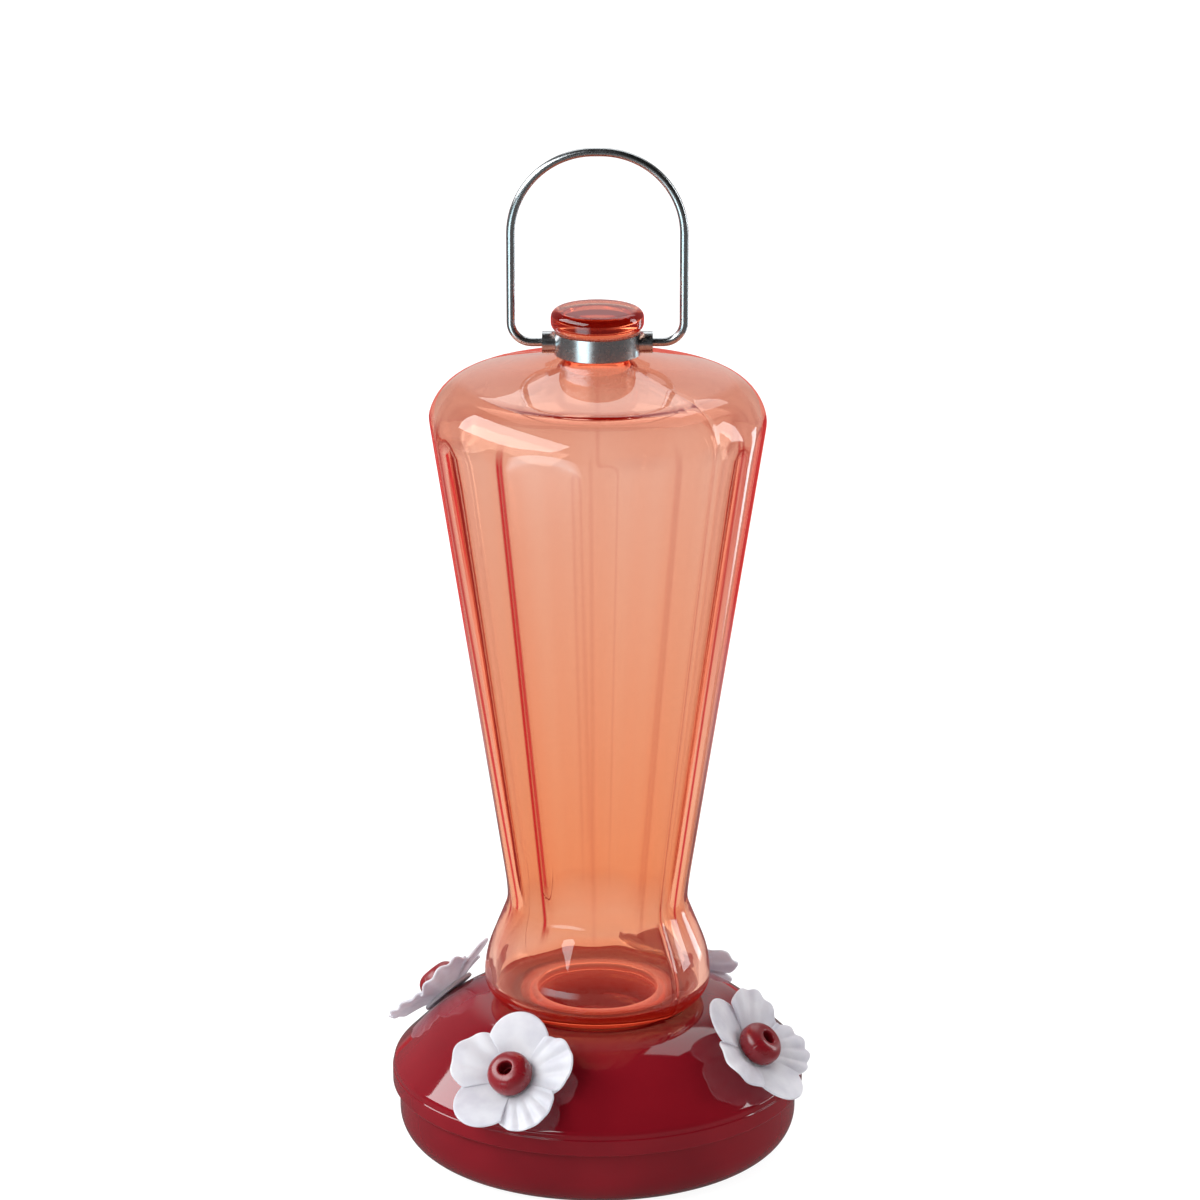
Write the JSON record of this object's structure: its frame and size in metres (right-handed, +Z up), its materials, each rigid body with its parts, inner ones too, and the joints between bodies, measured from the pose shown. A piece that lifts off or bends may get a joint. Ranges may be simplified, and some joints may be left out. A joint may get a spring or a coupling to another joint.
{
  "type": "hummingbird feeder",
  "caption": "Hanging nectar feeder: fluted red glass bottle, neck down, in a round red dish under a domed cover with white flower ports, and a wire bail to hang it by.",
  "frame": {"origin": "middle of the dish's underside, on the ground plane", "axes": "+Z up the bottle's axis, -Y towards the front"},
  "size_m": [0.1278, 0.1292, 0.3043],
  "materials": {
    "moulded_red": "high gloss moulded, translucent at thin edges",
    "bead_red": "gloss moulded",
    "petal_white": "satin moulded",
    "tinted_glass": "clear pressed, red tint",
    "hanger_wire": "bright drawn wire",
    "hanger_band": "satin"
  },
  "bodies": {
    "base": {"base_dish": "moulded_red"},
    "cover": {"top_cover": "moulded_red", "port_1": "bead_red", "port_2": "bead_red", "port_3": "bead_red", "port_4": "bead_red", "flower_1": "petal_white", "flower_2": "petal_white", "flower_3": "petal_white", "flower_4": "petal_white"},
    "bottle": {"bottle": "tinted_glass", "hanger_collar": "hanger_band"},
    "bail": {"hanger_bail": "hanger_wire"}
  },
  "joints": [
    {"name": "cover_lift", "type": "slide", "parent": "base", "child": "cover", "axis": [0, 0, 1], "range_m": [0, 0.057]},
    {"name": "bottle_lift", "type": "slide", "parent": "cover", "child": "bottle", "axis": [0, 0, 1], "range_m": [0, 0.0836]},
    {"name": "bail_swing", "type": "hinge", "parent": "bottle", "child": "bail", "pos_m": [0, 0, 0.24705], "axis": [1, 0, 0], "range_deg": [-85, 85]}
  ]
}
